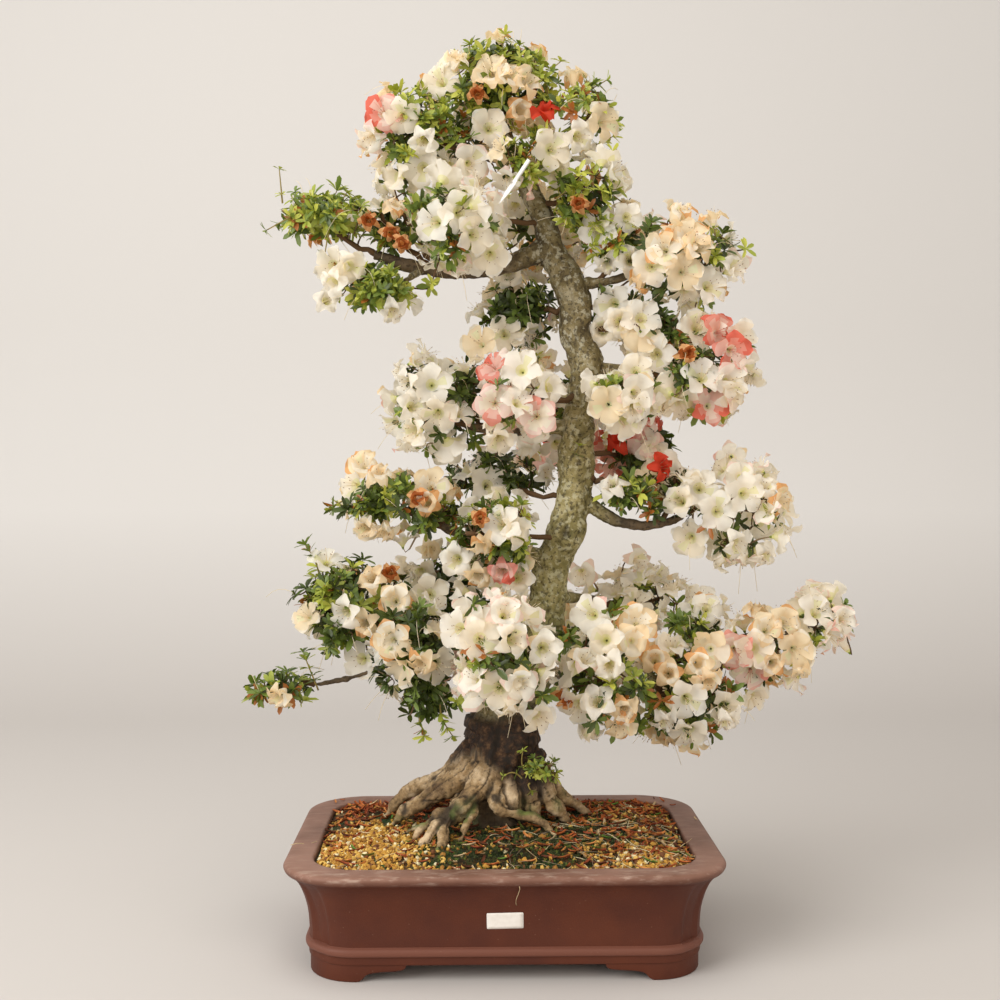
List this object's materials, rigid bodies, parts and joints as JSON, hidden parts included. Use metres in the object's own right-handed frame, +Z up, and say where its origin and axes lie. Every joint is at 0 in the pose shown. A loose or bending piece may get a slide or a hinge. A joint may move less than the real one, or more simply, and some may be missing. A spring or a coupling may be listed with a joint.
{
  "type": "azalea bonsai in its pot",
  "caption": "Azalea bonsai in blossom with a curved trunk, surface roots and tiered foliage, in a rectangular unglazed stoneware pot with cloud feet.",
  "frame": {"origin": "on the surface under the pot's feet, below the middle of the whole plant's box", "axes": "+Z up, the show side faces -Y, +X to the right of the show side"},
  "size_m": [0.801, 0.46, 1.2012],
  "materials": {
    "stoneware": "matte",
    "soil": "matte",
    "bark": "matte",
    "foliage": "matte"
  },
  "bodies": {
    "root": {"pot": "stoneware", "soil": "soil", "trunk": "bark", "bough_upper_left": "bark", "bough_upper_left_spur": "bark", "bough_right_upper": "bark", "bough_right_second": "bark", "bough_right_third": "bark", "bough_right_low": "bark", "bough_right_low_fork": "bark", "bough_right_low_front": "bark", "bough_front_right": "bark", "bough_left_low": "bark", "bough_left_low_front": "bark", "bough_left_low_long": "bark", "bough_front_low": "bark", "bough_left_third": "bark", "bough_left_second": "bark", "bough_left_back": "bark", "bough_right_back": "bark", "bough_back_low": "bark", "bough_back_mid": "bark", "foliage_apex": "foliage", "foliage_top_left": "foliage", "foliage_top_right": "foliage", "foliage_upper_left_front": "foliage", "foliage_right_shoulder": "foliage", "foliage_upper_left_tip": "foliage", "foliage_upper_left_under": "foliage", "foliage_right_upper": "foliage", "foliage_right_upper_under": "foliage", "foliage_right_second": "foliage", "foliage_right_second_front": "foliage", "foliage_right_back": "foliage", "foliage_left_second": "foliage", "foliage_left_second_front": "foliage", "foliage_left_upper_back": "foliage", "foliage_left_mid_back": "foliage", "foliage_left_third": "foliage", "foliage_left_third_front": "foliage", "foliage_left_third_back": "foliage", "foliage_left_low": "foliage", "foliage_left_low_mid": "foliage", "foliage_left_low_back": "foliage", "foliage_front_low": "foliage", "foliage_left_low_tip": "foliage", "foliage_right_third_inner": "foliage", "foliage_right_third": "foliage", "foliage_right_low_front": "foliage", "foliage_right_low_mid": "foliage", "foliage_right_low_far": "foliage", "foliage_right_low_tip": "foliage", "foliage_right_low_back": "foliage", "foliage_back_low": "foliage", "foliage_back_mid": "foliage", "foliage_back_upper": "foliage", "foliage_base_sprig": "foliage"}
  },
  "joints": []
}
